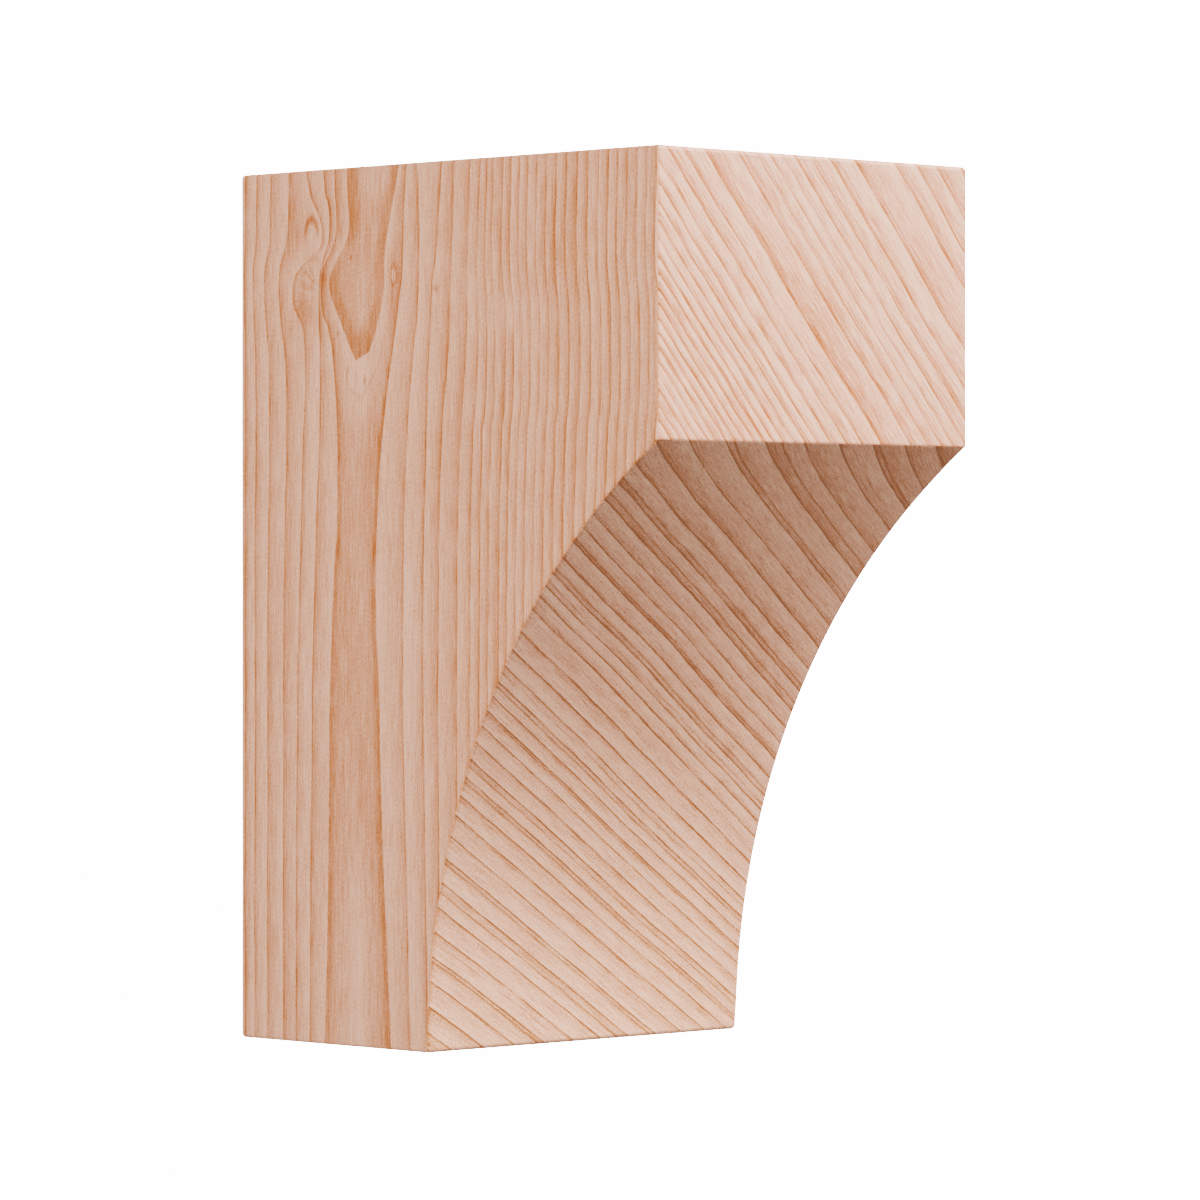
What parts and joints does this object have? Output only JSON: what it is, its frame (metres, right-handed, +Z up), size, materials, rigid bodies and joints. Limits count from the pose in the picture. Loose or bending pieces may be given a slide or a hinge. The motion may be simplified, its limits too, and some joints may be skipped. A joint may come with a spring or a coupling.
{
  "type": "wood corbel",
  "caption": "Plain softwood corbel block: flat back and top, upright nose and one concave sweep down to the foot.",
  "frame": {"origin": "centre of the flat back, which sits against the wall", "axes": "+Y is the outward normal of the back, into the wall, so the corbel reaches out along -Y; +Z is up, along its longest side; +X runs across its width"},
  "size_m": [0.1396, 0.1905, 0.2794],
  "materials": {
    "wood": "bare planed and sanded softwood with open growth rings, matt to satin"
  },
  "bodies": {
    "root": {"corbel": "wood"}
  },
  "joints": []
}
